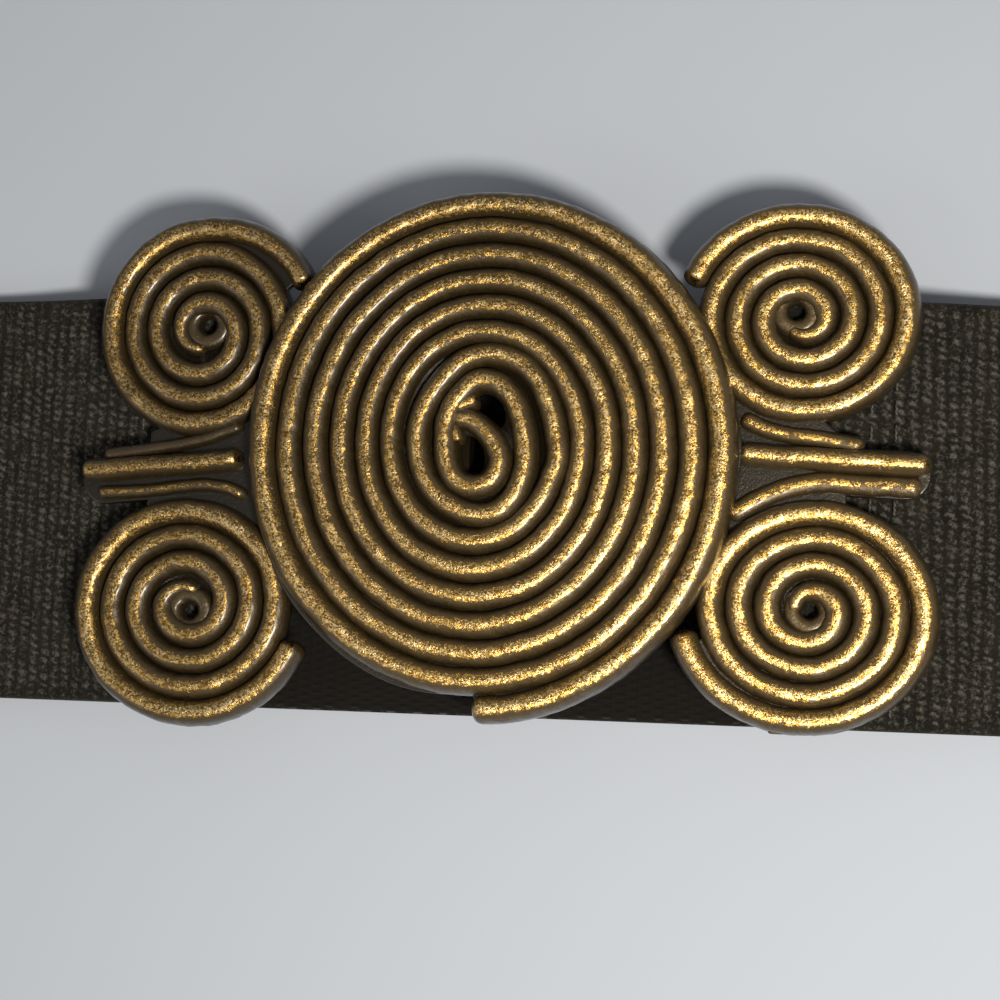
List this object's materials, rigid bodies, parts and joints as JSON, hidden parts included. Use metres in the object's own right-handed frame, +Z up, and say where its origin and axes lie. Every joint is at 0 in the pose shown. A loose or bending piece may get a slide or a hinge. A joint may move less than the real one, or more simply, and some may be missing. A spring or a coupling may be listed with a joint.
{
  "type": "belt",
  "caption": "Wide elastic belt lying fastened and flattened, with a cast metal clasp of small coiled-wire spirals round a large spiral disc.",
  "frame": {"origin": "middle of the flat back of the belt, under the clasp, on the surface that the belt lies on", "axes": "+X along the belt to the right as seen from above, +Y across the belt, +Z up through the clasp's face"},
  "size_m": [0.352, 0.064, 0.0152],
  "materials": {
    "antique_brass": "worn golden crests over dark brown patina",
    "dark_brass": "dull dark patina",
    "elastic_web": "matt dark olive-brown ribbed elastic"
  },
  "bodies": {
    "root": {"right_casting": "antique_brass", "left_casting": "antique_brass", "clasp_hook": "dark_brass", "elastic_strap": "elastic_web"}
  },
  "joints": []
}
